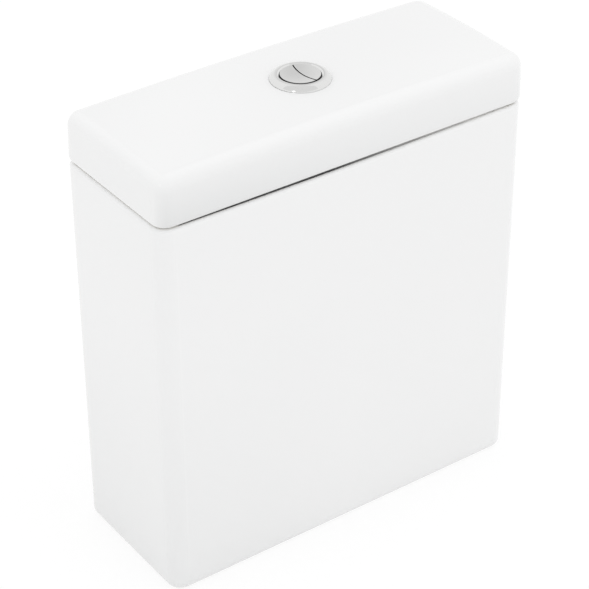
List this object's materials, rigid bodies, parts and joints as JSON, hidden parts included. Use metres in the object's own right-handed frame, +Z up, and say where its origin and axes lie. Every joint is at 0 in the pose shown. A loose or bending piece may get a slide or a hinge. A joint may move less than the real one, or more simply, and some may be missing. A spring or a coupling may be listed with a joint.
{
  "type": "toilet cistern",
  "caption": "Close-coupled ceramic toilet cistern with a lift-off lid, dual push button, dual flush valve and bottom-entry fill valve.",
  "frame": {"origin": "on the base plane, at the middle of the width and depth", "axes": "+Z up, -Y the wide front face, +Y the back against the wall, +X the water inlet side"},
  "size_m": [0.3706, 0.1473, 0.4196],
  "materials": {
    "ceramic": "white gloss glaze",
    "chrome": "polished chrome plate",
    "steel": "plain stainless",
    "brass": "machined brass",
    "rubber": "moulded black rubber",
    "seal_red": "soft silicone rubber",
    "white_plastic": "moulded",
    "grey_plastic": "moulded",
    "blue_plastic": "moulded"
  },
  "bodies": {
    "tank": {"tank": "ceramic", "lid_pads": "rubber", "valve_seat": "white_plastic", "seat_washer": "rubber", "back_nut": "grey_plastic", "doughnut_gasket": "rubber", "valve_cage": "white_plastic", "control_head": "grey_plastic", "full_lever_pin": "steel", "half_lever_pin": "steel", "fill_shank": "white_plastic", "inlet_washer": "rubber", "fill_nut": "brass", "inlet_filter": "grey_plastic", "lock_collar": "grey_plastic", "fill_riser": "white_plastic", "diaphragm": "seal_red", "fill_cap": "grey_plastic", "float_arm_pin": "steel", "fixing_bolts": "steel", "cone_washers": "rubber", "floor_washers": "steel", "fixing_nuts": "steel", "wing_nuts": "brass"},
    "lid": {"lid": "ceramic", "bezel": "chrome", "bezel_washer": "rubber", "bezel_nut": "grey_plastic", "full_spring": "steel", "half_spring": "steel"},
    "full_button": {"full_button": "chrome", "full_push_rod": "white_plastic"},
    "half_button": {"half_button": "chrome", "half_push_rod": "white_plastic"},
    "full_lever": {"full_lever": "blue_plastic"},
    "half_lever": {"half_lever": "blue_plastic"},
    "overflow_tube": {"overflow_tube": "white_plastic", "valve_seal": "seal_red", "seal_retainer": "grey_plastic", "tube_float": "grey_plastic", "lift_hook": "blue_plastic"},
    "half_flush_bar": {"half_flush_bar": "white_plastic", "half_flush_float": "blue_plastic"},
    "float": {"float": "grey_plastic", "float_rod": "white_plastic", "float_clips": "blue_plastic"},
    "float_arm": {"float_arm": "blue_plastic"}
  },
  "joints": [
    {"name": "lid_lift", "type": "slide", "parent": "tank", "child": "lid", "axis": [0, 0, 1], "range_m": [0, 0.12]},
    {"name": "full_press", "type": "slide", "parent": "lid", "child": "full_button", "axis": [0, 0, -1], "range_m": [0, 0.006], "stiffness_N_per_m": 300, "springref_m": -0.004, "deforming": ["full_spring"]},
    {"name": "half_press", "type": "slide", "parent": "lid", "child": "half_button", "axis": [0, 0, -1], "range_m": [0, 0.006], "stiffness_N_per_m": 300, "springref_m": -0.004, "deforming": ["half_spring"]},
    {"name": "full_lever_turn", "type": "hinge", "parent": "tank", "child": "full_lever", "pos_m": [-0.02, -0.0012, 0.304], "axis": [0, 1, 0], "range_deg": [0, 31.65]},
    {"name": "half_lever_turn", "type": "hinge", "parent": "tank", "child": "half_lever", "pos_m": [0.02, -0.0012, 0.304], "axis": [0, -1, 0], "range_deg": [0, 31.65]},
    {"name": "tube_lift", "type": "slide", "parent": "tank", "child": "overflow_tube", "axis": [0, 0, 1], "range_m": [0, 0.012]},
    {"name": "half_bar_lift", "type": "slide", "parent": "tank", "child": "half_flush_bar", "axis": [0, 0, 1], "range_m": [0, 0.012]},
    {"name": "float_rise", "type": "slide", "parent": "tank", "child": "float", "axis": [0, 0, 1], "range_m": [0, 0.01]},
    {"name": "float_arm_turn", "type": "hinge", "parent": "tank", "child": "float_arm", "pos_m": [0.1258, -0.00585, 0.2755], "axis": [-1, 0, 0], "range_deg": [0, 28.96]}
  ],
  "couplings": [
    {"joint": "full_lever_turn", "follows": "full_press", "rad_per_m": 92.076},
    {"joint": "tube_lift", "follows": "full_press", "ratio": 2},
    {"joint": "half_lever_turn", "follows": "half_press", "rad_per_m": 92.076},
    {"joint": "half_bar_lift", "follows": "half_press", "ratio": 2},
    {"joint": "float_arm_turn", "follows": "float_rise", "rad_per_m": 50.536}
  ]
}
